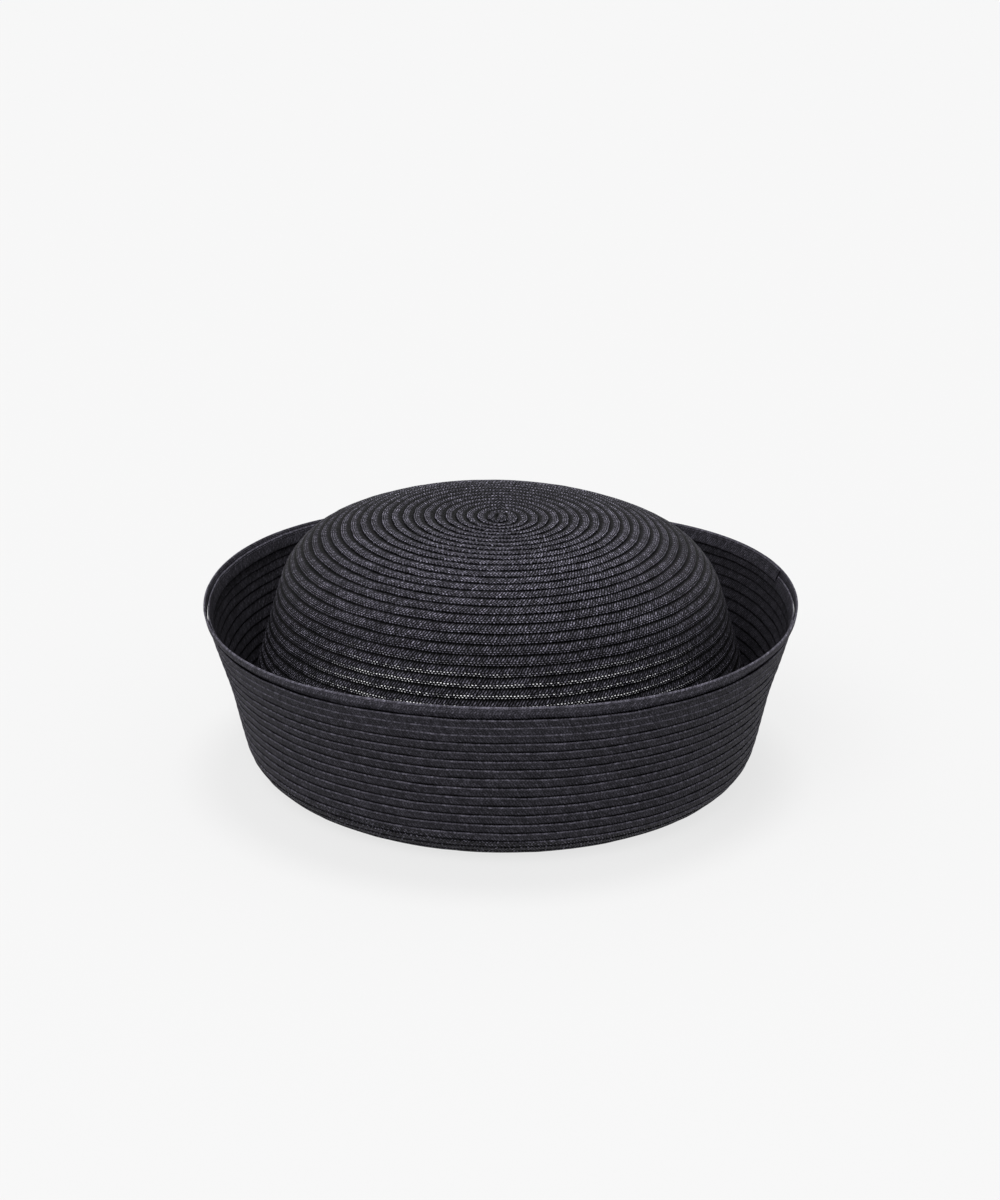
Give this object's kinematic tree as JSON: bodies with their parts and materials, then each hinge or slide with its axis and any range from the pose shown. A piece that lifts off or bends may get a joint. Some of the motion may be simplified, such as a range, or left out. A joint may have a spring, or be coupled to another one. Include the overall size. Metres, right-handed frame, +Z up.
{
  "type": "sailor cap",
  "caption": "Round-crowned cap of sewn braid, with a tall brim turned up all round from a soft fold and flared to its rim.",
  "frame": {"origin": "middle of the head opening, on the surface that the fold rests on", "axes": "+Z up from the head opening towards the crown's tip, -Y towards the front, +X to the right of the cap as seen from the front"},
  "size_m": [0.247, 0.2468, 0.1091],
  "materials": {
    "braid": "near-black flat plaited braid with a faint violet cast, dull with a soft sheen"
  },
  "bodies": {
    "root": {"crown_tip": "braid", "crown_side": "braid", "crown_foot": "braid", "brim_fold": "braid", "brim_wall": "braid", "edge_braid": "braid"}
  },
  "joints": []
}
